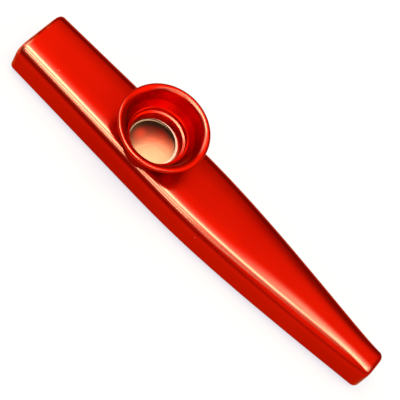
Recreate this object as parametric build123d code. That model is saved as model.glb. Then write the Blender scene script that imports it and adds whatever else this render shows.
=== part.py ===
import os
from math import asin, atan2, degrees, hypot, tan
from build123d import *

# A kazoo in millimetres: X along the body from the wide end to the narrow end, Z up, underside at Z zero.

# Body, seen from above
body_length = 120.8
wide_end_width = 17.5
greatest_width = 19.8
narrow_end_width = 8.0
greatest_width_from_wide_end = 52.8
widening_round_length = 5.3
narrowing_round_length = 33.6
outline_points = 13  # on each side

# Body, seen from the end
body_height = 11.0
sheet = 0.8
top_corner_radius = 3.4
bottom_corner_radius = 2.4
wide_end_turn_radius = 1.3
narrow_end_turn_radius = 1.6
narrow_end_lean = 1.2  # how far its top is set back
end_land = 0.25  # flat strip around each opening
opening_corner_radius = 1.7

# Underside, where the plate is hemmed in
hem_flat_width = 1.7
slot_from_wide_end = 5.0
slot_from_narrow_end = 14.0
plate_overlap = 1.5
plate_clearance = 0.1

# Turret
turret_from_wide_end = 40.15
collar_radius = 8.6
collar_height = 3.3  # above the body's top
collar_floor = 0.6
neck_radius = 7.95
neck_wall = 0.5
neck_drop = 2.7  # below the body's top
ledge_thickness = 0.6
ledge_bore_radius = 6.0
lock_ring_wall = 0.5

# Thread between the collar and the cup
thread_pitch = 1.25
thread_depth = 0.3
thread_base_width = 0.5
thread_crest_width = 0.22
thread_clearance = 0.1
thread_sink = 0.1  # how far a ridge roots into its wall
cup_thread_root_radius = 7.9
cup_thread_turns = 1.5
collar_thread_turns = 1.75
thread_run_in = 0.6  # plain length below the first turn

# Membrane stack, from the ledge up
gasket_thickness = 0.4
membrane_rim_thickness = 0.5
membrane_rim_radius = 7.3
membrane_window_radius = 6.3
film_thickness = 0.1
film_grip = 0.3  # hidden in the rim
film_lift = 0.2  # above the rim's underside
slip_washer_thickness = 0.3
slip_spigot_wall = 0.7
slip_spigot_height = 0.3
slip_reveal = 0.2  # of the slip ring, seen inside the cup's lip
stack_clearance = 0.1

# Cup
nose_wall = 0.25  # around the slip ring's spigot
lip_slope_width = 0.5
lip_slope_height = 2.35
cup_thread_wall = 0.3
shoulder_rise = 0.28
lower_step_height = 3.35  # above the body's top
lower_step_width = 0.4
lower_step_rise = 0.25
cup_flange_gap = 0.3  # over the collar
cup_wall = 0.6
flare_radius = 1.5  # where the bell turns outward
rim_bead_radius = 0.6
rim_radius = 12.1
rim_centre_height = 8.2  # above the body's top

overrun = 1.0  # how far a cut runs past what it cuts

# Places that follow from the sizes above
wide_end_x = -body_length / 2
narrow_end_x = body_length / 2
turret_x = wide_end_x + turret_from_wide_end
neck_bottom = body_height - neck_drop
ledge_top = neck_bottom + ledge_thickness
neck_bore_radius = neck_radius - neck_wall
collar_top = body_height + collar_height
collar_floor_top = body_height + collar_floor
rim_base = ledge_top + gasket_thickness + stack_clearance
rim_top = rim_base + membrane_rim_thickness
washer_top = rim_top + slip_washer_thickness
spigot_top = washer_top + slip_spigot_height
nose_radius = neck_bore_radius - stack_clearance
socket_radius = nose_radius - nose_wall
spigot_radius = socket_radius - stack_clearance
slip_bore_radius = spigot_radius - slip_spigot_wall
cup_thread_start = collar_floor_top + thread_run_in
cup_flange_bottom = collar_top + cup_flange_gap
collar_thread_root_radius = cup_thread_root_radius + thread_depth + thread_clearance


def half_width(x):
    # A hyperbola on each side of the widest place: level there, then straightening out.
    from_widest = x - wide_end_x - greatest_width_from_wide_end
    if from_widest < 0:
        run = greatest_width_from_wide_end
        loss = greatest_width - wide_end_width
        rounding = widening_round_length
    else:
        run = body_length - greatest_width_from_wide_end
        loss = greatest_width - narrow_end_width
        rounding = narrowing_round_length
    share = (hypot(from_widest, rounding) - rounding) / (hypot(run, rounding) - rounding)
    return (greatest_width - loss * share) / 2


def plan(inset, start_x, end_x):
    # The body's outline from above, moved in from both sides and cut square at both ends.
    step = (end_x - start_x) / (outline_points - 1)
    stations = [start_x + step * i for i in range(outline_points)]
    far = Spline(*[(x, half_width(x) - inset) for x in stations])
    near = Spline(*[(x, inset - half_width(x)) for x in stations])
    ends = [Line(far @ share, near @ share) for share in (0, 1)]
    return make_face(Wire([far, ends[0], near, ends[1]]))


def prism(face, bottom, top):
    return Pos(0, 0, bottom) * extrude(face, top - bottom)


def pillow(inset):
    # The body's outer form, or its hollow when it is moved in by the sheet.
    start_x = wide_end_x + inset
    foot = (narrow_end_x, 0, narrow_end_turn_radius)
    leaning = Plane(origin=foot, z_dir=(body_height, 0, narrow_end_lean)).offset(-inset)
    form = prism(plan(inset, start_x, narrow_end_x + overrun), inset, body_height - inset)
    for height, radius in ((body_height - inset, top_corner_radius), (inset, bottom_corner_radius)):
        level = form.edges().filter_by(lambda e: abs(e.center().Z - height) < sheet / 2)
        form = fillet(level.sort_by(Edge.length)[-2:], radius - inset)
    form = split(form, bisect_by=leaning, keep=Keep.BOTTOM)
    for x, radius in ((start_x, wide_end_turn_radius), (narrow_end_x, narrow_end_turn_radius)):
        end = form.faces().sort_by(lambda f: abs(f.center().X - x))[0]
        form = fillet(end.edges(), radius - inset)
    return form


def end_cut(x, width, turn_radius):
    # The opening in a turned-in end.
    border = (turn_radius + end_land) * 2
    outline = RectangleRounded(width - border, body_height - border, opening_corner_radius)
    across = Plane(origin=(x, 0, body_height / 2), x_dir=(0, 1, 0), z_dir=(1, 0, 0))
    return extrude(across * outline, sheet + overrun, both=True)


def turned(outline):
    # A ring around the turret's axis from a closed outline of radius and height.
    return Pos(turret_x, 0, 0) * revolve(Plane.XZ * make_face(outline), Axis.Z)


def tube(inner, outer, bottom, top):
    return turned(Polyline((inner, bottom), (outer, bottom), (outer, top), (inner, top), close=True))


def disc(radius, bottom, top):
    return Pos(turret_x, 0, bottom) * extrude(Circle(radius), top - bottom)


def thread_ridge(root_radius, side, start, turns):
    # A helical ridge on a wall: side is +1 on a shaft and -1 in a bore.
    path = Helix(thread_pitch, thread_pitch * turns, root_radius)
    section = Plane(origin=path @ 0, x_dir=(side, 0, 0), z_dir=path % 0)
    foot = thread_base_width / 2
    crest = thread_crest_width / 2
    lower = ((-thread_sink, -foot), (thread_depth, -crest))
    upper = ((thread_depth, crest), (-thread_sink, foot))
    outline = make_face(Polyline(*lower, *upper, close=True))
    return Pos(turret_x, 0, start) * sweep(section * outline, path, is_frenet=True)


def upper_shell():
    shell = body_form - body_hollow
    shell -= end_cut(wide_end_x, wide_end_width, wide_end_turn_radius)
    shell -= end_cut(narrow_end_x - narrow_end_lean / 2, narrow_end_width, narrow_end_turn_radius)
    shell -= disc(neck_radius, neck_bottom, body_height + overrun)
    return shell - prism(slot_plan(0), -overrun, sheet + overrun)


def slot_plan(grow):
    inset = bottom_corner_radius + hem_flat_width - grow
    return plan(inset, wide_end_x + slot_from_wide_end - grow, narrow_end_x - slot_from_narrow_end + grow)


def bottom_plate():
    # A tray: its edge lies on the hems and its middle drops through the slot, flush with them.
    edge = prism(slot_plan(plate_overlap), sheet, sheet * 2)
    middle = prism(slot_plan(-plate_clearance), 0, sheet * 2)
    hollow = prism(slot_plan(-plate_clearance - sheet), sheet, sheet * 2 + overrun)
    return edge + middle - hollow


def threaded_collar():
    barrel = tube(collar_thread_root_radius, collar_radius, collar_floor_top, collar_top)
    foot = tube(neck_bore_radius, collar_radius, neck_bottom, collar_floor_top) - body_form
    neck = tube(neck_bore_radius, neck_radius, neck_bottom, collar_floor_top)
    ledge = tube(ledge_bore_radius, neck_radius, neck_bottom, ledge_top)
    start = cup_thread_start - thread_pitch / 2
    ridge = thread_ridge(collar_thread_root_radius, -1, start, collar_thread_turns)
    return barrel + foot + neck + ledge + ridge


def collar_lock_ring():
    ring = tube(neck_radius, neck_radius + lock_ring_wall, neck_bottom, body_height)
    return ring & body_hollow


def seat_gasket():
    return tube(ledge_bore_radius, membrane_rim_radius, ledge_top, ledge_top + gasket_thickness)


def membrane_film():
    bottom = rim_base + film_lift
    return disc(membrane_window_radius + film_grip, bottom, bottom + film_thickness)


def membrane_rim():
    return tube(membrane_window_radius, membrane_rim_radius, rim_base, rim_top) - membrane_film()


def slip_ring():
    washer = tube(slip_bore_radius, membrane_rim_radius, rim_top, washer_top)
    return washer + tube(slip_bore_radius, spigot_radius, rim_top, spigot_top)


def screw_cup():
    # A bell with a rolled rim, a throat with a step and a shoulder in it, and a sloping lip over the slip ring.
    bead_centre = rim_radius - rim_bead_radius
    bead_height = body_height + rim_centre_height
    shoulder_radius = cup_thread_root_radius - cup_thread_wall
    lip_edge = spigot_top + stack_clearance
    lip_top = lip_edge + lip_slope_height
    lower_step = body_height + lower_step_height
    step_radius = shoulder_radius + lower_step_width
    step_top = lower_step + lower_step_rise
    flare_height = bead_height + rim_bead_radius - flare_radius
    across = bead_centre - step_radius
    up = flare_height - step_top
    slope = atan2(up, across) + asin(flare_radius / hypot(across, up))
    inner_flare = CenterArc((bead_centre, flare_height), flare_radius, 90, degrees(slope))
    outer_flare = CenterArc((bead_centre, flare_height), flare_radius - cup_wall, 90, degrees(slope))
    flare_end = outer_flare @ 1
    flange_radius = flare_end.X - (flare_end.Y - cup_flange_bottom) / tan(slope)
    throat = Polyline(
        outer_flare @ 1,
        (flange_radius, cup_flange_bottom),
        (cup_thread_root_radius, cup_flange_bottom),
        (cup_thread_root_radius, collar_floor_top + thread_clearance),
        (nose_radius, collar_floor_top + thread_clearance),
        (nose_radius, washer_top + stack_clearance),
        (socket_radius, washer_top + stack_clearance),
        (socket_radius, lip_edge),
        (slip_bore_radius + slip_reveal, lip_edge),
        (slip_bore_radius + slip_reveal + lip_slope_width, lip_top),
        (shoulder_radius, lip_top + shoulder_rise),
        (shoulder_radius, lower_step),
        (step_radius, step_top),
        inner_flare @ 1,
    )
    under_rim = Line(inner_flare @ 0, outer_flare @ 0)
    wall = turned([inner_flare, under_rim, outer_flare, *throat.edges()])
    bead = turned(CenterArc((bead_centre, bead_height), rim_bead_radius, 0, 360))
    ridge = thread_ridge(cup_thread_root_radius, 1, cup_thread_start, cup_thread_turns)
    return wall + bead + ridge


body_form = pillow(0)
body_hollow = pillow(sheet)
os.makedirs("parts", exist_ok=True)
pieces = (
    upper_shell, bottom_plate, threaded_collar, collar_lock_ring, seat_gasket,
    membrane_film, membrane_rim, slip_ring, screw_cup,
)
for piece in pieces:
    export_step(piece(), f"parts/{piece.__name__}.step")
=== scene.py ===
import math
import bmesh
import bpy
from mathutils import Matrix, Vector


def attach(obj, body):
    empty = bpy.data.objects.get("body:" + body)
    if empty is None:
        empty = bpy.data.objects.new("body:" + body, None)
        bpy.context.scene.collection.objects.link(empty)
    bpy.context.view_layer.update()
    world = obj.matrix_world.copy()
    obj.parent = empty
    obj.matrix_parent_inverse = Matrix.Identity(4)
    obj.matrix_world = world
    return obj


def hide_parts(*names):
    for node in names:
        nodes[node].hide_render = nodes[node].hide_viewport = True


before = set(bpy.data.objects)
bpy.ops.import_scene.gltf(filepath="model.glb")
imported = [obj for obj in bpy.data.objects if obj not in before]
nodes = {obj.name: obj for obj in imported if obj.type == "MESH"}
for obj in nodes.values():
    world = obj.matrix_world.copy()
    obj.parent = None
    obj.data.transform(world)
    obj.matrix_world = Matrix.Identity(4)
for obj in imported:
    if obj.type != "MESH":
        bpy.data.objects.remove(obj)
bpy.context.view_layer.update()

scene = bpy.context.scene
mm = 0.001  # shapes below are in millimetres
print("frame loaded with", len(nodes), "nodes")


class Wire:  # a socket that takes part in sums
    def __init__(self, finish, socket):
        self.finish = finish
        self.socket = socket

    def sum(self, operation, first, second):
        return self.finish.node("ShaderNodeMath", {"operation": operation}, {0: first, 1: second})

    def __add__(self, other):
        return self.sum("ADD", self, other)

    __radd__ = __add__

    def __sub__(self, other):
        return self.sum("SUBTRACT", self, other)

    def __rsub__(self, other):
        return self.sum("SUBTRACT", other, self)

    def __mul__(self, other):
        return self.sum("MULTIPLY", self, other)

    __rmul__ = __mul__

    def __truediv__(self, other):
        return self.sum("DIVIDE", self, other)

    def __abs__(self):
        return self.sum("ABSOLUTE", self, 0)


class Finish:  # one node tree and the ways to add to it
    def __init__(self, tree):
        self.tree = tree
        tree.nodes.clear()

    def node(self, kind, settings, sockets, out=0):
        made = self.tree.nodes.new(kind)
        for key, value in settings.items():
            if key == "stops":
                ramp = made.color_ramp
                while len(ramp.elements) < len(value):
                    ramp.elements.new(1)
                for stop, (place, level) in zip(ramp.elements, value):
                    stop.position = place
                    stop.color = (level, level, level, 1)
            else:
                setattr(made, key, value)
        for key, value in sockets.items():
            if isinstance(value, Wire):
                self.tree.links.new(value.socket, made.inputs[key])
            else:
                made.inputs[key].default_value = value
        return Wire(self, made.outputs[out])

    def place(self, out="Object"):
        return self.node("ShaderNodeTexCoord", {}, {}, out)

    def part(self, vector, axis):
        return self.node("ShaderNodeSeparateXYZ", {}, {0: vector}, axis)

    def mix(self, factor, first, second):
        return self.node("ShaderNodeMix", {"data_type": "RGBA"}, {0: factor, 6: first, 7: second}, 2)

    def step(self, value, low, high):  # 0 up to low, 1 from high on
        return self.node("ShaderNodeMapRange", {"interpolation_type": "SMOOTHSTEP"},
                         {"Value": value, "From Min": low, "From Max": high})

    def noise(self, place, scale, detail=3, stretch=(1, 1, 1)):
        scaled = self.node("ShaderNodeVectorMath", {"operation": "MULTIPLY"}, {0: place, 1: stretch})
        return self.node("ShaderNodeTexNoise", {}, {"Vector": scaled, "Scale": scale, "Detail": detail})

    def specks(self, place, scale, size, core=0.6):  # small round spots, 1 inside their core
        cell = self.node("ShaderNodeTexVoronoi", {}, {"Vector": place, "Scale": scale})
        return 1 - self.step(cell, size * core, size)

    def bump(self, height, strength, distance):
        sockets = {"Height": height, "Strength": strength, "Distance": distance}
        return self.node("ShaderNodeBump", {}, sockets, "Normal")

    def principled(self, sockets):
        return self.node("ShaderNodeBsdfPrincipled", {}, sockets)

    def close(self, shader, kind="ShaderNodeOutputMaterial"):
        made = self.tree.nodes.new(kind)
        self.tree.links.new(shader.socket, made.inputs["Surface"])


def newMaterial(name):
    material = bpy.data.materials.new(name)
    material.use_nodes = True
    return material, Finish(material.node_tree)


redLook = {  # red anodised metal, with places in metres
    "body": [(0.485, 0.0052, 0.0009, 1), (0.535, 0.0070, 0.0012, 1)],
    # painted light: the cup's red is lighter than the body's to brighten its inner wall
    "cup": [(0.62, 0.0065, 0.0011, 1), (0.68, 0.0080, 0.0014, 1)],
    # painted shade: the collar's darker red stands for the shade under the cup's rim
    "collar": [(0.30, 0.0030, 0.0006, 1), (0.36, 0.0040, 0.0008, 1)],
    "toneScale": 45,
    "toneRange": (0.3, 0.7),
    "edgeTint": (0.55, 0.50, 0.40, 1),
    "wornRed": (0.95, 0.16, 0.07, 1),
    "wearReach": (0.0590, 0.0602),  # only at the edges of both ends
    "wearScale": 260,
    "wearRange": (0.42, 0.62),
    "wearShare": 0.55,
    "dust": (0.90, 0.55, 0.45, 1),
    "dustScale": 170,
    "dustSize": 0.022,
    "dustShare": 0.5,
    "roughness": 0.29,
    "grainRoughness": 0.04,
    "dustRoughness": 0.2,
    "dustHeight": 0.6,
    "bump": (0.010, 0.00005),  # strength and depth
    "coatRoughness": 0.12,
    "coatIndex": 2.4,
}
lacquerLook = {  # where the clear lacquer gathers
    "tilt": (0.70, 0.80),  # on the rounded edges
    "level": (0.990, 0.9995),  # but not on level faces
    "near": (-0.10, -0.02),  # and only on the near side
    "thinning": 0.13,
    "thinningRun": (-0.005, 0.035),  # there is less of it towards the narrow end
    "spread": 0.016,
    "spreadRun": (0.010, 0.038),  # where it also runs onto the top
    "cupRim": (0.0178, 0.0184),  # heights on the cup in metres
    "cupLip": (0.0134, 0.0138),
    "cupSlant": 0.3,
    "cupInward": (-0.45, -0.10),
}
bareLook = {
    "metal": (0.80, 0.77, 0.73, 1),
    "dull": (0.62, 0.58, 0.54, 1),
    "stainScale": 120,
    "stainRange": (0.35, 0.7),
    "roughness": 0.34,
    "grainRoughness": 0.15,
    "stainRoughness": 0.1,
    "bump": (0.12, 0.00006),
}


def lacquerShare(finish, place, part):
    look = lacquerLook
    facing = finish.place("Normal")
    upward = finish.part(facing, "Z")
    along = finish.part(place, "X")
    thinning = look["thinning"] * finish.step(along, *look["thinningRun"])
    spread = finish.step(along, *look["spreadRun"])
    level = finish.step(upward, *look["level"]) * (1 - spread)
    share = finish.step(upward - thinning, *look["tilt"]) * (1 - level)
    towardsFar = finish.part(facing, "Y") - look["spread"] * spread
    share = share * (1 - finish.step(towardsFar, *look["near"]))
    if part == "cup":
        height = finish.part(place, "Z")
        share = share * (finish.step(height, *look["cupRim"]) + 1 - finish.step(height, *look["cupLip"]))
        inward = finish.part(facing, "Y") + look["cupSlant"] * finish.part(facing, "X")
        share = share * (1 - finish.step(inward, *look["cupInward"]))
    return share


def redShader(finish, grain, part="body", rough=0, coat=1):
    look = redLook
    place = finish.place()
    tone = finish.noise(place, look["toneScale"], 2)
    lines = finish.noise(place, 1, 4, grain)
    dust = finish.specks(place, look["dustScale"], look["dustSize"])
    colour = finish.mix(finish.step(tone, *look["toneRange"]), *look[part])
    if part == "body":
        reach = abs(finish.part(place, "X"))
        worn = finish.step(finish.noise(place, look["wearScale"], 4), *look["wearRange"])
        worn = finish.step(reach, *look["wearReach"]) * worn
        colour = finish.mix(look["wearShare"] * worn, colour, look["wornRed"])
    colour = finish.mix(look["dustShare"] * dust, colour, look["dust"])
    roughness = look["roughness"] + rough + look["grainRoughness"] * (lines - 0.5)
    return finish.principled({
        "Base Color": colour,
        "Metallic": 1,
        "Specular Tint": look["edgeTint"],
        "Roughness": roughness + look["dustRoughness"] * dust,
        "Coat Weight": coat * lacquerShare(finish, place, part),
        "Coat Roughness": look["coatRoughness"],
        "Coat IOR": look["coatIndex"],
        "Normal": finish.bump(lines + look["dustHeight"] * dust, *look["bump"]),
    })


def bareShader(finish, grain):
    look = bareLook
    place = finish.place()
    lines = finish.noise(place, 1, 4, grain)
    stain = finish.step(finish.noise(place, look["stainScale"], 4), *look["stainRange"])
    roughness = look["roughness"] + look["grainRoughness"] * (lines - 0.5)
    return finish.principled({
        "Base Color": finish.mix(stain, look["metal"], look["dull"]),
        "Metallic": 1,
        "Roughness": roughness + look["stainRoughness"] * stain,
        "Normal": finish.bump(lines, *look["bump"]),
    })


turret = {"x": -20.25, "segments": 160}
rolledGrain = (300, 5200, 5200)  # drawn along the body
turnedGrain = (900, 900, 9000)  # around the turret


def redFinish(name, grain, part="body", rough=0, coat=1):
    material, finish = newMaterial(name)
    finish.close(redShader(finish, grain, part, rough, coat))
    return material


def bareFinish(name, grain):
    material, finish = newMaterial(name)
    finish.close(bareShader(finish, grain))
    return material


plateLook = {"paintEdge": (0.00055, 0.0007)}  # red below this height in metres, bare above


def plateFinish(name):
    material, finish = newMaterial(name)
    height = finish.part(finish.place(), "Z")
    mixed = finish.node("ShaderNodeMixShader", {}, {
        0: finish.step(height, *plateLook["paintEdge"]),
        1: redShader(finish, rolledGrain),
        2: bareShader(finish, rolledGrain),
    })
    finish.close(mixed)
    return material


rubberLook = {
    "black": (0.018, 0.017, 0.016, 1),
    "bloom": (0.045, 0.042, 0.040, 1),
    "bloomScale": 240,
    "bloomRange": (0.45, 0.7),
    "roughness": 0.72,
    "bloomRoughness": 0.15,
    "grainScale": 2600,
    "bump": (0.3, 0.00005),
}


def rubberFinish(name):
    look = rubberLook
    material, finish = newMaterial(name)
    place = finish.place()
    grain = finish.noise(place, look["grainScale"], 4)
    bloom = finish.step(finish.noise(place, look["bloomScale"], 3), *look["bloomRange"])
    finish.close(finish.principled({
        "Base Color": finish.mix(bloom, look["black"], look["bloom"]),
        "Roughness": look["roughness"] + look["bloomRoughness"] * bloom,
        "Normal": finish.bump(grain, *look["bump"]),
    }))
    return material


plasticLook = {  # clear plastic: tone is painted light where it faces up or its walls face left, shade is painted shade on its other walls
    "slip": {"tone": (1.0, 0.80, 0.98, 1), "shade": (0.07, 0.045, 0.05, 1), "roughness": 0.20},
    "rim": {"tone": (0.70, 0.54, 0.51, 1), "shade": (0.22, 0.13, 0.12, 1), "roughness": 0.25},
    "cloudScale": 300,
    "cloudShare": 0.3,
    "paintedLightTop": (0.2, 0.8),
    "paintedLightRight": (-0.9, -0.5),
    "grainScale": 3000,
    "grainRoughness": 0.1,
    "bump": (0.05, 0.00004),
}


def plasticFinish(name, part):
    look = plasticLook
    material, finish = newMaterial(name)
    place = finish.place()
    cloud = finish.noise(place, look["cloudScale"], 3)
    grain = finish.noise(place, look["grainScale"], 2)
    facing = finish.place("Normal")
    upward = finish.part(facing, "Z") + look["cloudShare"] * (cloud - 0.5)
    sideways = finish.part(facing, "X")
    # painted light and shade: pale tone where it faces up or left, dark shade elsewhere
    paintedLight = finish.step(upward, *look["paintedLightTop"]) + 1 - finish.step(sideways, *look["paintedLightRight"])
    finish.close(finish.principled({
        "Base Color": finish.mix(paintedLight, look[part]["shade"], look[part]["tone"]),
        "Roughness": look[part]["roughness"] + look["grainRoughness"] * (grain - 0.5),
        "Normal": finish.bump(grain, *look["bump"]),
    }))
    return material


filmLook = {
    "tone": (0.78, 0.55, 0.43, 1),
    "haze": (0.70, 0.47, 0.38, 1),
    "hazeScale": 160,
    "clear": (0.17, 0.11, 0.10, 1),  # painted shade: the film is coloured darker here
    "paintedShadeWay": (-0.36, 0.92),  # towards the far left
    "paintedShadeRun": (0.0004, 0.0052),  # in metres from the middle
    "metallic": 0.96,
    "alpha": 0.92,
    "hazeAlpha": 0.06,
    "roughness": 0.27,
    "hazeRoughness": 0.06,
    "bulge": (0.040, 0.070),  # radii of its soft dome in metres
    "lean": (-0.26, 0.03),
    "foldScale": 420,
    "foldStretch": (1, 0.45, 1),
    "foldHeight": 0.00001,
}


def filmFinish(name):
    look = filmLook
    material, finish = newMaterial(name)
    place = finish.place()
    cloud = finish.noise(place, look["hazeScale"], 2)
    folds = finish.noise(place, look["foldScale"], 3, look["foldStretch"])
    x = finish.part(place, "X") - turret["x"] * mm
    y = finish.part(place, "Y")
    slack = x * x / (-2 * look["bulge"][0]) + y * y / (-2 * look["bulge"][1])
    slack = slack - look["lean"][0] * x - look["lean"][1] * y
    way = look["paintedShadeWay"][1] * y + look["paintedShadeWay"][0] * x
    colour = finish.mix(cloud, look["tone"], look["haze"])
    # painted shade: the colour turns dark towards the far left of the film
    colour = finish.mix(finish.step(way, *look["paintedShadeRun"]), colour, look["clear"])
    finish.close(finish.principled({
        "Base Color": colour,
        "Metallic": look["metallic"],
        "Roughness": look["roughness"] + look["hazeRoughness"] * cloud,
        "Alpha": look["alpha"] + look["hazeAlpha"] * (cloud - 0.5),
        "Normal": finish.bump(slack + look["foldHeight"] * folds, 1, 1),
    }))
    return material


collarRoughness = 0.12  # the collar is duller than the body and has no lacquer; its darker red is painted shade under the cup's rim
redShell = redFinish("redShell", rolledGrain)
paintedShadeCollar = redFinish("paintedShadeCollar", turnedGrain, "collar", collarRoughness, 0)
redCupPaintedLight = redFinish("redCupPaintedLight", turnedGrain, "cup")
bareInside = bareFinish("bareInside", rolledGrain)
bareTurned = bareFinish("bareTurned", turnedGrain)
carriedOver = {
    "bottom_plate": plateFinish("platePaint"),
    "threaded_collar": paintedShadeCollar,
    "collar_lock_ring": bareTurned,
    "seat_gasket": rubberFinish("gasketRubber"),
}
for nodeName, material in carriedOver.items():
    nodes[nodeName].data.materials.clear()
    nodes[nodeName].data.materials.append(material)
print("finishes ready")


def newPiece(name, points, faces, materials, body, node, sharp=35):
    mesh = bpy.data.meshes.new(name)
    mesh.from_pydata([Vector(p) * mm for p in points], [], faces)
    for material in materials:
        mesh.materials.append(material)
    mesh.validate()
    mesh.shade_smooth()
    mesh.set_sharp_from_angle(angle=math.radians(sharp))
    piece = bpy.data.objects.new(name, mesh)
    scene.collection.objects.link(piece)
    if body:
        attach(piece, body)
        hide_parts(node)
    return piece


def ringFaces(ringCount, pointCount, closed):
    faces = []
    for i in range(ringCount if closed else ringCount - 1):
        a = i * pointCount
        b = (i + 1) % ringCount * pointCount
        for j in range(pointCount):
            k = (j + 1) % pointCount
            faces.append((a + j, a + k, b + k, b + j))
    return faces


def outward(piece):  # turns all its faces outwards
    net = bmesh.new()
    net.from_mesh(piece.data)
    bmesh.ops.recalc_face_normals(net, faces=net.faces)
    net.to_mesh(piece.data)
    net.free()


# rounds the corners of a closed outline of (radius, height, corner radius)
def rounded(outline, steps=5, mostShare=0.49, leastAngle=1e-4):
    points = []
    for i, (r, z, corner) in enumerate(outline):
        here = Vector((r, z))
        before = Vector(outline[i - 1][:2]) - here
        after = Vector(outline[(i + 1) % len(outline)][:2]) - here
        if corner == 0:
            points.append(here)
            continue
        half = before.angle(after) / 2
        reach = min(corner / math.tan(half), before.length * mostShare, after.length * mostShare)
        bend = reach * math.tan(half)
        centre = here + (before.normalized() + after.normalized()).normalized() * (bend / math.sin(half))
        start = here + before.normalized() * reach - centre
        end = here + after.normalized() * reach - centre
        for k in range(steps + 1):
            arm = start.slerp(end, k / steps) * bend if start.angle(end) > leastAngle else start
            points.append(centre + arm)
    return points


def turned(outline, segments):  # points and faces of a ring around the turret's axis
    points = []
    for i in range(segments):
        turn = math.tau * i / segments
        points += [(turret["x"] + p.x * math.cos(turn), p.x * math.sin(turn), p.y) for p in outline]
    count = len(outline)
    faces = []
    for i in range(segments):
        a = i * count
        b = (i + 1) % segments * count
        for j in range(count):
            k = (j + 1) % count
            faces.append((a + j, b + j, b + k, a + k))
    return points, faces


shellShape = {
    "length": 120.8, "height": 11, "sheet": 0.8,
    "wideWidth": 17.5, "greatestWidth": 19.8, "narrowWidth": 8.0,
    "widestAt": 52.8, "widenRound": 5.3, "narrowRound": 33.6,
    "topRadius": 3.4, "bottomRadius": 2.4,
    "wideTurn": 1.3, "narrowTurn": 1.6,
    "lean": 1.2, "leanFoot": 1.3, "leanRun": 9,  # the narrow end's top is set back
    "land": 0.25, "openingCorner": 1.7, "openingCrown": 0.01,
    "openingEdge": 0.12, "edgeMiddleShare": 0.29, "innerEdgeShare": 0.6,
    "crown": 0.20, "crownPower": 4,  # the top falls this much towards its sides
    "stationStep": 1.0, "cornerSteps": 14, "turnSteps": 6,
    "topShares": [0, 0.02, 0.08] + [0.15 + 0.07 * i for i in range(11)] + [0.92, 0.98],
    "sideShares": [0, 0.04, 0.35, 0.65, 0.96],
    "bottomShares": [0, 0.03, 0.14, 0.26, 0.38, 0.5, 0.62, 0.74, 0.86, 0.97],
    "holeRadius": 7.95, "holeFrom": 7, "holeTo": 13, "holeMiddle": 0.001,
    "slotInset": 4.1, "slotFromWide": 5, "slotFromNarrow": 14,
    "slotFrom": -1, "slotTo": 1.3, "slotSteps": 100,
    "sharp": 40,
}


def halfWidth(x):
    s = shellShape
    off = x + s["length"] / 2 - s["widestAt"]
    widest = s["greatestWidth"]
    if off < 0:
        run, loss, bend = s["widestAt"], widest - s["wideWidth"], s["widenRound"]
    else:
        run, loss, bend = s["length"] - s["widestAt"], widest - s["narrowWidth"], s["narrowRound"]
    share = (math.hypot(off, bend) - bend) / (math.hypot(run, bend) - bend)
    return (widest - loss * share) / 2


def cornerPoints(y, z, radius, first, sweep):
    steps = shellShape["cornerSteps"]
    turns = [first - sweep * i / steps for i in range(steps)]
    return [(y + radius * math.cos(turn), z + radius * math.sin(turn)) for turn in turns]


def section(half, low, high, topRadius, bottomRadius, crown):  # (y, z) around the body
    s = shellShape
    quarter = math.pi / 2
    flat = half - topRadius
    slope = math.atan(s["crownPower"] * crown / flat)
    topZ = high - crown - topRadius * math.cos(slope)
    flatEnd = flat + topRadius * math.sin(slope)
    foot, footZ = half - bottomRadius, low + bottomRadius
    ring = []
    for share in s["topShares"]:
        y = flatEnd * (2 * share - 1)
        ring.append((y, high - crown * (y / flatEnd) ** s["crownPower"]))
    ring += cornerPoints(flat, topZ, topRadius, quarter - slope, quarter - slope)
    ring += [(half, topZ + (footZ - topZ) * share) for share in s["sideShares"]]
    ring += cornerPoints(foot, footZ, bottomRadius, 0, quarter)
    ring += [(foot * (1 - 2 * share), low) for share in s["bottomShares"]]
    ring += cornerPoints(-foot, footZ, bottomRadius, -quarter, quarter)
    ring += [(-half, footZ + (topZ - footZ) * share) for share in s["sideShares"]]
    ring += cornerPoints(-flat, topZ, topRadius, math.pi, quarter - slope)
    return ring


def leaned(x, z):  # where a point near the narrow end lies along the body
    s = shellShape
    reach = (x - s["length"] / 2 + s["narrowTurn"]) / s["leanRun"] + 1
    reach = min(1, max(0, reach))
    return x - s["lean"] * reach * reach * (3 - 2 * reach) * (z - s["leanFoot"]) / s["height"]


def skinRings(inset):  # rings of the outside, or of the inside when it is moved in by the sheet
    s = shellShape
    end = s["length"] / 2 - inset
    wide, narrow = s["wideTurn"] - inset, s["narrowTurn"] - inset
    turns = [math.pi / 2 * i / s["turnSteps"] for i in range(s["turnSteps"] + 1)]
    places = [(-end + wide * (1 - math.sin(t)), wide * (1 - math.cos(t))) for t in reversed(turns)]
    first, last = -end + wide, end - narrow
    count = round((last - first) / s["stationStep"])
    places += [(first + (last - first) * i / count, 0) for i in range(1, count)]
    places += [(end - narrow * (1 - math.sin(t)), narrow * (1 - math.cos(t))) for t in turns]
    rings = []
    for x, dip in places:
        cut = inset + dip
        half = halfWidth(x) - cut
        top, bottom = s["topRadius"] - cut, s["bottomRadius"] - cut
        ring = section(half, cut, s["height"] - cut, top, bottom, s["crown"])
        rings.append([(leaned(x, z), y * (halfWidth(leaned(x, z)) - cut) / half, z) for y, z in ring])
    return rings


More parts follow.
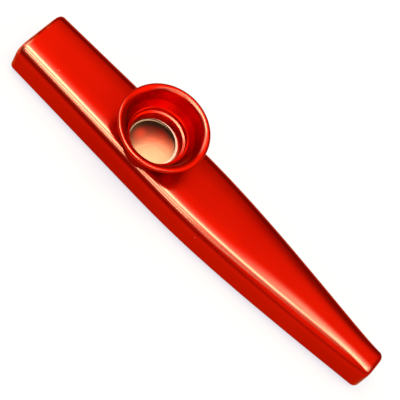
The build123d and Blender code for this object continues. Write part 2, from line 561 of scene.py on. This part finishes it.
def openingRings(x, turn, inward):  # rings of an end's turned-in edge
    s = shellShape
    edge, corner = s["openingEdge"], s["openingCorner"]
    middle = edge * s["edgeMiddleShare"]
    depths = [(0, edge), (middle, middle), (edge, 0)]
    depths += [(s["sheet"] - edge, 0), (s["sheet"], edge * s["innerEdgeShare"])]
    rings = []
    for depth, grow in depths:
        gap = turn + s["land"] - grow
        ring = section(halfWidth(x) - gap, gap, s["height"] - gap, corner, corner, s["openingCrown"])
        rings.append([(leaned(x, z) + inward * depth, y, z) for y, z in ring])
    return rings


def cutter(name, points, faces):
    made = newPiece(name, points, faces, [redShell], None, None)
    outward(made)
    return made


def holeCutter():  # for the collar, through the top
    s = shellShape
    corners = [(s["holeMiddle"], s["holeFrom"]), (s["holeRadius"], s["holeFrom"])]
    corners += [(s["holeRadius"], s["holeTo"]), (s["holeMiddle"], s["holeTo"])]
    return cutter("holeCutter", *turned([Vector(c) for c in corners], turret["segments"]))


def slotCutter():  # for the bottom plate, through the underside
    s = shellShape
    first, last = -s["length"] / 2 + s["slotFromWide"], s["length"] / 2 - s["slotFromNarrow"]
    xs = [first + (last - first) * i / s["slotSteps"] for i in range(s["slotSteps"] + 1)]
    rim = [(x, halfWidth(x) - s["slotInset"]) for x in xs]
    rim += [(x, -y) for x, y in reversed(rim)]
    points = [(x, y, z) for z in (s["slotFrom"], s["slotTo"]) for x, y in rim]
    count = len(rim)
    faces = ringFaces(2, count, False) + [tuple(range(count))[::-1], tuple(range(count, 2 * count))]
    return cutter("slotCutter", points, faces)


def makeShell():
    s = shellShape
    outside = skinRings(0)
    inside = skinRings(s["sheet"])
    narrow = openingRings(s["length"] / 2, s["narrowTurn"], -1)
    wide = openingRings(-s["length"] / 2, s["wideTurn"], 1)
    rings = outside + narrow + inside[::-1] + wide[::-1]
    pointCount = len(rings[0])
    points = [p for ring in rings for p in ring]
    faces = ringFaces(len(rings), pointCount, True)
    shell = newPiece("shell", points, faces, [redShell, bareInside], None, None)
    bare = range(len(outside) + len(narrow), len(outside) + len(narrow) + len(inside) - 1)
    for polygon in shell.data.polygons:
        polygon.material_index = int(polygon.index // pointCount in bare)
    tools = [holeCutter(), slotCutter()]
    for tool in tools:
        cut = shell.modifiers.new(tool.name, "BOOLEAN")
        cut.operation = "DIFFERENCE"
        cut.solver = "EXACT"
        cut.object = tool
    outward(shell)
    bpy.context.view_layer.update()
    shaped = bpy.data.meshes.new_from_object(shell.evaluated_get(bpy.context.evaluated_depsgraph_get()))
    shell.modifiers.clear()
    shell.data = shaped
    for tool in tools:
        bpy.data.objects.remove(tool)
    shaped.shade_smooth()
    shaped.set_sharp_from_angle(angle=math.radians(s["sharp"]))
    even = shell.modifiers.new("evenShade", "WEIGHTED_NORMAL")
    even.keep_sharp = True
    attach(shell, "body")
    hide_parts("upper_shell")
    return shell


shell = makeShell()
print("shell:", len(shell.data.polygons), "faces")

cupShape = {
    "bead": 0.6, "rimRadius": 12.09, "rimHeight": 19.2, "flare": 1.5, "flareEnd": 92, "wall": 0.6,
    "flareSteps": 26, "beadSteps": 44, "backSteps": 8,
    "flangeBottom": 14.6, "threadRoot": 7.9, "threadFoot": 11.7,
    "nose": 7.35, "noseBottom": 10.3, "socket": 7.1, "lipEdge": 10.6, "lipBore": 6.5,
    "lipTop": 13.05, "lipTopRadius": 6.97, "shoulder": 7.6, "shoulderTop": 13.21,
    "step": 14.35, "stepTop": 14.6, "stepRadius": 8.0, "belly": 16.4, "bellyRadius": 9.12,
    "corners": {
        "flange": 0.12, "threadTop": 0.06, "threadFoot": 0.04, "noseTop": 0.05, "noseBottom": 0.06,
        "socketBottom": 0.05, "socketTop": 0.03, "lipEdge": 0.08, "lipTop": 0.25, "shoulder": 0.20,
        "step": 0.08, "stepTop": 0.08, "belly": 2.0,
    },
    "pitch": 1.25, "turns": 1.5, "threadStart": 12.2, "depth": 0.3, "foot": 0.5, "crest": 0.22,
    "threadSink": 0.1, "runOut": 12, "threadSteps": 150,
    "sharp": 50,
}


def arc(centreR, centreZ, radius, first, last, steps):
    found = []
    for i in range(steps + 1):
        a = math.radians(first + (last - first) * i / steps)
        found.append(Vector((centreR + radius * math.cos(a), centreZ + radius * math.sin(a))))
    return found


def cupOutline():
    c = cupShape
    corner = c["corners"]
    centre = c["rimRadius"] - c["bead"]
    flareHeight = c["rimHeight"] + c["bead"] - c["flare"]
    across, up = centre - c["stepRadius"], flareHeight - c["stepTop"]
    slope = math.atan2(up, across) + math.asin(c["flare"] / math.hypot(across, up))
    turn = math.degrees(slope)
    thin = c["flare"] - c["wall"]
    meet = 2 * math.degrees(math.asin(c["bead"] / 2 / thin))
    outline = arc(centre, flareHeight, c["flare"], 90 + turn, c["flareEnd"], c["flareSteps"])
    outline += arc(centre, c["rimHeight"], c["bead"], 90, meet / 2 - 180, c["beadSteps"])
    outline += arc(centre, flareHeight, thin, 90 + meet, 90 + turn, c["backSteps"])[1:]
    flange = outline[-1].x - (outline[-1].y - c["flangeBottom"]) / math.tan(slope)
    straight = [  # down the outside from the flange, then up the inside
        (flange, c["flangeBottom"], corner["flange"]),
        (c["threadRoot"], c["flangeBottom"], corner["threadTop"]),
        (c["threadRoot"], c["threadFoot"], corner["threadFoot"]),
        (c["nose"], c["threadFoot"], corner["noseTop"]),
        (c["nose"], c["noseBottom"], corner["noseBottom"]),
        (c["socket"], c["noseBottom"], corner["socketBottom"]),
        (c["socket"], c["lipEdge"], corner["socketTop"]),
        (c["lipBore"], c["lipEdge"], corner["lipEdge"]),
        (c["lipTopRadius"], c["lipTop"], corner["lipTop"]),
        (c["shoulder"], c["shoulderTop"], corner["shoulder"]),
        (c["shoulder"], c["step"], corner["step"]),
        (c["stepRadius"], c["stepTop"], corner["stepTop"]),
        (c["bellyRadius"], c["belly"], corner["belly"]),
    ]
    guide = [(outline[-1].x, outline[-1].y, 0)] + straight + [(outline[0].x, outline[0].y, 0)]
    return outline + rounded(guide)[1:-1]


def threadRidge():  # a ridge around the cup's spigot, run out at both ends
    c = cupShape
    count, sunk = c["threadSteps"], c["threadRoot"] - c["threadSink"]
    foot, crest = c["foot"] / 2, c["crest"] / 2
    points = []
    for i in range(count + 1):
        share = i / count
        turn = math.tau * c["turns"] * share
        fade = min(1, share * c["runOut"], (1 - share) * c["runOut"])
        out = sunk + (c["depth"] + c["threadSink"]) * fade
        z = c["threadStart"] + c["pitch"] * c["turns"] * share
        for r, dz in ((sunk, -foot), (out, -crest), (out, crest), (sunk, foot)):
            points.append((turret["x"] + r * math.cos(turn), r * math.sin(turn), z + dz))
    ends = [(3, 2, 1, 0), tuple(4 * count + k for k in range(4))]
    return points, ringFaces(count + 1, 4, False) + ends


def makeCup():
    points, faces = turned(cupOutline(), turret["segments"])
    ridgePoints, ridgeFaces = threadRidge()
    offset = len(points)
    faces += [tuple(k + offset for k in face) for face in ridgeFaces]
    points += ridgePoints
    cup = newPiece("cup", points, faces, [redCupPaintedLight], "cup", "screw_cup", cupShape["sharp"])
    outward(cup)
    return cup


cup = makeCup()
print("cup:", len(cup.data.polygons), "faces")

stackShape = {
    "bore": 6.3, "outer": 7.3, "neck": 7.0, "segments": 120,
    "rimFoot": 9.4, "slipFoot": 9.9, "slipShoulder": 10.2, "slipTop": 10.5,
    "rimCorner": 0.08, "slipCorner": 0.06, "neckCorner": 0.04, "topCorner": 0.08, "boreCorner": 0.12,
    "boreReach": 6.7, "boreShift": -0.35,  # the slip ring's bore lies off its centre
    "filmRadius": 6.55, "filmHeight": 9.65, "filmSink": 0.02, "filmCrown": 0.12, "filmWrinkle": 0.016,
    "wrinkles": [(5, 1.3, 1), (11, 0.4, 0.6), (17, 0, 0.4)],  # waves around it, their turn and weight
    "filmRings": 24, "filmSegments": 96,
}


def makeSlipRing():
    s = stackShape
    outline = [
        (s["bore"], s["slipFoot"], s["slipCorner"]),
        (s["outer"], s["slipFoot"], s["slipCorner"]),
        (s["outer"], s["slipShoulder"], s["slipCorner"]),
        (s["neck"], s["slipShoulder"], s["neckCorner"]),
        (s["neck"], s["slipTop"], s["topCorner"]),
        (s["bore"], s["slipTop"], s["boreCorner"]),
    ]
    points = []
    central, faces = turned(rounded(outline), s["segments"])
    for x, y, z in central:
        inBore = math.hypot(x - turret["x"], y) < s["boreReach"]
        points.append((x + s["boreShift"] if inBore else x, y, z))
    finish = plasticFinish("slipClear", "slip")
    newPiece("slipRing", points, faces, [finish], "membrane", "slip_ring")


def makeMembraneRim():
    s = stackShape
    corners = [("bore", "rimFoot"), ("outer", "rimFoot"), ("outer", "slipFoot"), ("bore", "slipFoot")]
    outline = [(s[r], s[z], s["rimCorner"]) for r, z in corners]
    points, faces = turned(rounded(outline), s["segments"])
    finish = plasticFinish("rimPlastic", "rim")
    newPiece("membraneRim", points, faces, [finish], "membrane", "membrane_rim")


def makeFilm():
    s = stackShape
    rings, segments = s["filmRings"], s["filmSegments"]
    base = s["filmHeight"] - s["filmSink"]
    points = [(turret["x"], 0, base + s["filmCrown"])]
    for i in range(1, rings + 1):
        share = i / rings
        radius = s["filmRadius"] * share
        for j in range(segments):
            turn = math.tau * j / segments
            fold = sum(weight * math.sin(count * turn + phase) for count, phase, weight in s["wrinkles"])
            lift = s["filmCrown"] * (1 - share * share) + s["filmWrinkle"] * fold * share * (1 - share)
            points.append((turret["x"] + radius * math.cos(turn), radius * math.sin(turn), base + lift))
    faces = [(0, 1 + j, 1 + (j + 1) % segments) for j in range(segments)]
    for i in range(rings - 1):
        a, b = 1 + i * segments, 1 + (i + 1) * segments
        for j in range(segments):
            k = (j + 1) % segments
            faces.append((a + j, b + j, b + k, a + k))
    finish = filmFinish("clearFilm")
    newPiece("film", points, faces, [finish], "membrane", "membrane_film")


makeSlipRing()
makeMembraneRim()
makeFilm()
print("membrane stack ready")

floorLook = {
    "half": 2.5,  # in metres
    "cells": 8,
    "tones": [(0.76, 0.82, 0.95, 1), (0.78, 0.84, 0.97, 1)],
    "toneScale": 6,
    "roughness": 0.8,
    "shine": 0.1,
    "glow": (1, 1, 1.13, 1),
    "glowShare": 0.68,
}
studio = {  # in metres, with angles from the far side over the top to the near side
    "distance": 1,
    "lampWarmth": (1, 0.86, 0.46),
    "lamps": {
        "leftPanel": {"angle": 91, "from": -0.74, "to": -0.18, "width": 0.34, "radiance": 5.2},
        "middlePanel": {"angle": 90, "from": -0.18, "to": -0.02, "width": 0.30, "radiance": 5.0},
        "rightPanel": {"angle": 90, "from": -0.02, "to": 0.20, "width": 0.26, "radiance": 3.9},
        "endPanel": {"angle": 82, "from": 0.20, "to": 0.55, "width": 0.36, "radiance": 3.6},
        "leftFill": {"angle": 113, "from": -0.43, "to": -0.13, "width": 0.23, "radiance": 5.6},
        "middleFill": {"angle": 113, "from": -0.13, "to": 0.03, "width": 0.22, "radiance": 4.2},
        "leftStrip": {"angle": 128, "from": -0.36, "to": -0.13, "width": 0.09, "radiance": 4.8},
        "middleStrip": {"angle": 131, "from": -0.13, "to": 0.03, "width": 0.11, "radiance": 5.2},
        "middleGlow": {"angle": 135, "from": 0.06, "to": 0.24, "width": 0.70, "radiance": 0.8},
        "rightGlow": {"angle": 142, "from": 0.24, "to": 0.80, "width": 0.90, "radiance": 1.3},
    },
    "flags": {
        "middleFlag": {"angle": 53, "from": -0.13, "to": -0.03, "width": 0.28},
        "endFlag": {"angle": 45, "from": 0.05, "to": 0.60, "width": 0.28},
    },
    "cardTones": [(0.02, 0.02, 0.02, 1), (0.03, 0.03, 0.03, 1)], "cardScale": 9, "cardRoughness": 0.9,
    "roomWarmth": (1, 0.88, 0.52),
    "room": [  # radiance by angle
        (0, 0.14), (18, 0.19), (30, 0.36), (40, 0.66), (47, 1.08), (53, 1.44), (60, 1.63), (68, 1.70),
        (80, 1.70), (95, 1.5), (104, 0.8), (112, 0.36), (136, 0.30), (142, 0.28), (170, 0.30), (180, 0.5),
    ],
    "roomMost": 2,  # the ramp holds shares of this radiance
}


def makeFloor():
    look = floorLook
    mesh = bpy.data.meshes.new("floor")
    net = bmesh.new()
    bmesh.ops.create_grid(net, x_segments=look["cells"], y_segments=look["cells"], size=look["half"])
    net.to_mesh(mesh)
    net.free()
    material, finish = newMaterial("paleFloor")
    tone = finish.mix(finish.noise(finish.place(), look["toneScale"], 3), *look["tones"])
    sockets = {"Base Color": tone, "Roughness": look["roughness"], "Specular IOR Level": look["shine"]}
    matt = finish.principled(sockets)
    glow = finish.node("ShaderNodeEmission", {}, {"Color": look["glow"], "Strength": 1})
    seen = finish.node("ShaderNodeLightPath", {}, {}, "Is Camera Ray")
    seen = seen + finish.node("ShaderNodeLightPath", {}, {}, "Is Glossy Ray")
    seen = seen + finish.node("ShaderNodeLightPath", {}, {}, "Is Transmission Ray")
    finish.close(finish.node("ShaderNodeMixShader", {}, {0: look["glowShare"] * seen, 1: matt, 2: glow}))
    mesh.materials.append(material)
    floor = bpy.data.objects.new("floor", mesh)
    scene.collection.objects.link(floor)


def makeRoom():
    world = bpy.data.worlds.new("studioRoom")
    scene.world = world
    world.use_nodes = True
    finish = Finish(world.node_tree)
    way = finish.place("Generated")
    sides = {0: finish.part(way, "Z"), 1: finish.part(way, "Y")}
    angle = finish.node("ShaderNodeMath", {"operation": "ARCTAN2"}, sides)
    stops = [(a / 180, level / studio["roomMost"]) for a, level in studio["room"]]
    light = finish.node("ShaderNodeValToRGB", {"stops": stops}, {0: angle / math.pi})
    sockets = {0: light, 1: studio["roomWarmth"]}
    light = finish.node("ShaderNodeVectorMath", {"operation": "MULTIPLY"}, sockets)
    room = finish.node("ShaderNodeBackground", {}, {"Color": light, "Strength": studio["roomMost"]})
    finish.close(room, "ShaderNodeOutputWorld")


def ringPlace(look):  # where a lamp or card stands, facing the body
    turn = math.radians(look["angle"])
    out = Vector((0, math.cos(turn), math.sin(turn)))
    side = Vector((1, 0, 0))
    spot = side * (look["from"] + look["to"]) / 2 + out * studio["distance"]
    return Matrix.Translation(spot) @ Matrix((side, out.cross(side), out)).transposed().to_4x4()


def makeFlag(name, look):  # a dark card that shades part of the room from the body's top
    material, finish = newMaterial("darkCard")
    tone = finish.mix(finish.noise(finish.place(), studio["cardScale"], 3), *studio["cardTones"])
    finish.close(finish.principled({"Base Color": tone, "Roughness": studio["cardRoughness"]}))
    mesh = bpy.data.meshes.new(name)
    x, y = (look["to"] - look["from"]) / 2, look["width"] / 2
    mesh.from_pydata([(-x, -y, 0), (x, -y, 0), (x, y, 0), (-x, y, 0)], [], [(0, 1, 2, 3)])
    mesh.materials.append(material)
    flag = bpy.data.objects.new(name, mesh)
    scene.collection.objects.link(flag)
    flag.matrix_world = ringPlace(look)


def makeLamp(name, look):  # a panel that is long along the body
    lamp = bpy.data.lights.new(name, "AREA")
    lamp.shape = "RECTANGLE"
    length = look["to"] - look["from"]
    lamp.size = length
    lamp.size_y = look["width"]
    lamp.color = studio["lampWarmth"]
    lamp.energy = look["radiance"] * math.pi * length * look["width"]
    panel = bpy.data.objects.new(name, lamp)
    scene.collection.objects.link(panel)
    panel.matrix_world = ringPlace(look)


makeFloor()
makeRoom()
for flagName, flagLook in studio["flags"].items():
    makeFlag(flagName, flagLook)
for lampName, lampLook in studio["lamps"].items():
    makeLamp(lampName, lampLook)
print("studio ready")

cameraFit = {
    "target": (-0.4, 0, 6), "azimuth": 0.627, "elevation": 59.582, "roll": 44.533,
    "distance": 310.8, "focal": 1220.342, "frame": 400, "shift": (-0.00625, 0.0110),
    "sensor": 36, "nearest": 10,
}


def makeCamera():
    c = cameraFit
    azimuth, elevation, roll = (math.radians(c[k]) for k in ("azimuth", "elevation", "roll"))
    level = math.cos(elevation)
    back = Vector((math.sin(azimuth) * level, -math.cos(azimuth) * level, math.sin(elevation)))
    right = Vector((math.cos(azimuth), math.sin(azimuth), 0))
    up = back.cross(right)
    across = right * math.cos(roll) + up * math.sin(roll)
    upright = up * math.cos(roll) - right * math.sin(roll)
    lens = bpy.data.cameras.new("productView")
    lens.sensor_width = c["sensor"]
    lens.lens = c["focal"] * c["sensor"] / c["frame"]
    lens.shift_x, lens.shift_y = c["shift"]
    lens.clip_start = c["nearest"] * mm
    camera = bpy.data.objects.new("productView", lens)
    scene.collection.objects.link(camera)
    spot = (Vector(c["target"]) + back * c["distance"]) * mm
    camera.matrix_world = Matrix.Translation(spot) @ Matrix((across, upright, back)).transposed().to_4x4()
    scene.camera = camera


makeCamera()
scene.view_settings.view_transform = "Standard"
